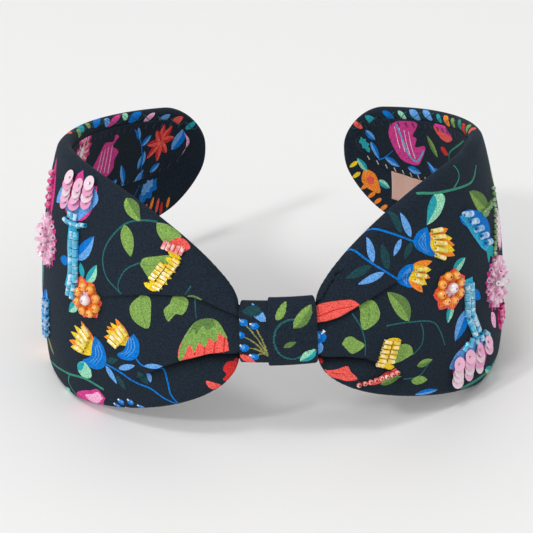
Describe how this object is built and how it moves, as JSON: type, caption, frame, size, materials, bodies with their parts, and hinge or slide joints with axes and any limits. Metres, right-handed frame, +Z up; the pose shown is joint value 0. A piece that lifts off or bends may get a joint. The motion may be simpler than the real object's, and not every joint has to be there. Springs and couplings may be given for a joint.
{
  "type": "knotted headband",
  "caption": "Padded cloth headband, wide at the sides and gathered into a wrapped knot at the front, with a printed cover, lining, blank label and sewn-on beads.",
  "frame": {"origin": "centre of the overall box in plan, on the table plane under the lower edge", "axes": "+X to the right as seen from the knot's side, +Y from the knot to the open tips, +Z up through the width of the band"},
  "size_m": [0.1536, 0.1455, 0.079],
  "materials": {
    "plastic_core": "matt",
    "foam": "matt",
    "printed_cotton": "matt",
    "lining_cloth": "matt",
    "dark_thread": "matt",
    "pale_thread": "matt",
    "satin_label": "satin",
    "pink_sequin": "gloss",
    "cyan_glass": "gloss",
    "orange_glass": "gloss",
    "pearl": "gloss",
    "yellow_glass": "gloss",
    "pink_glass": "gloss",
    "magenta_glass": "gloss",
    "blue_glass": "gloss",
    "coral_glass": "gloss",
    "green_glass": "gloss"
  },
  "bodies": {
    "knot": {"core_bridge": "plastic_core", "knot_filler": "foam", "wrap_under": "printed_cotton", "wrap_over": "printed_cotton", "wrap_stitches": "dark_thread"},
    "left_arm": {"left_core": "plastic_core", "left_foam": "foam", "left_inner_pad": "foam", "left_cover": "printed_cotton", "left_lining": "lining_cloth", "left_edge_stitches": "dark_thread", "left_slip_stitches": "dark_thread", "left_pink_sequins": "pink_sequin", "left_cyan_bugles": "cyan_glass", "left_orange_beads": "orange_glass", "left_pearl": "pearl", "left_crocus_bugles": "yellow_glass", "left_fringe_bugles": "yellow_glass", "left_crystal_flower": "pink_glass", "left_magenta_beads": "magenta_glass", "left_blue_beads": "blue_glass", "left_coral_beads": "coral_glass"},
    "right_arm": {"right_core": "plastic_core", "right_foam": "foam", "right_inner_pad": "foam", "right_cover": "printed_cotton", "right_lining": "lining_cloth", "right_edge_stitches": "dark_thread", "right_slip_stitches": "pale_thread", "right_label": "satin_label", "right_pink_sequins": "pink_sequin", "right_cyan_bugles": "cyan_glass", "right_orange_beads": "orange_glass", "right_pearls": "pearl", "right_crocus_bugles": "yellow_glass", "right_fringe_bugles": "yellow_glass", "right_crystal_flower": "pink_glass", "right_magenta_beads": "magenta_glass", "right_blue_beads": "blue_glass", "right_green_beads": "green_glass", "right_coral_beads": "coral_glass"}
  },
  "joints": [
    {"name": "left_arm_flex", "type": "hinge", "parent": "knot", "child": "left_arm", "pos_m": [-0.01047, -0.068, 0.0386], "axis": [0, 0, 1], "range_deg": [0, 18], "stiffness_Nm_per_rad": 0.5},
    {"name": "right_arm_flex", "type": "hinge", "parent": "knot", "child": "right_arm", "pos_m": [0.01333, -0.06755, 0.0386], "axis": [0, 0, -1], "range_deg": [0, 18], "stiffness_Nm_per_rad": 0.5}
  ]
}
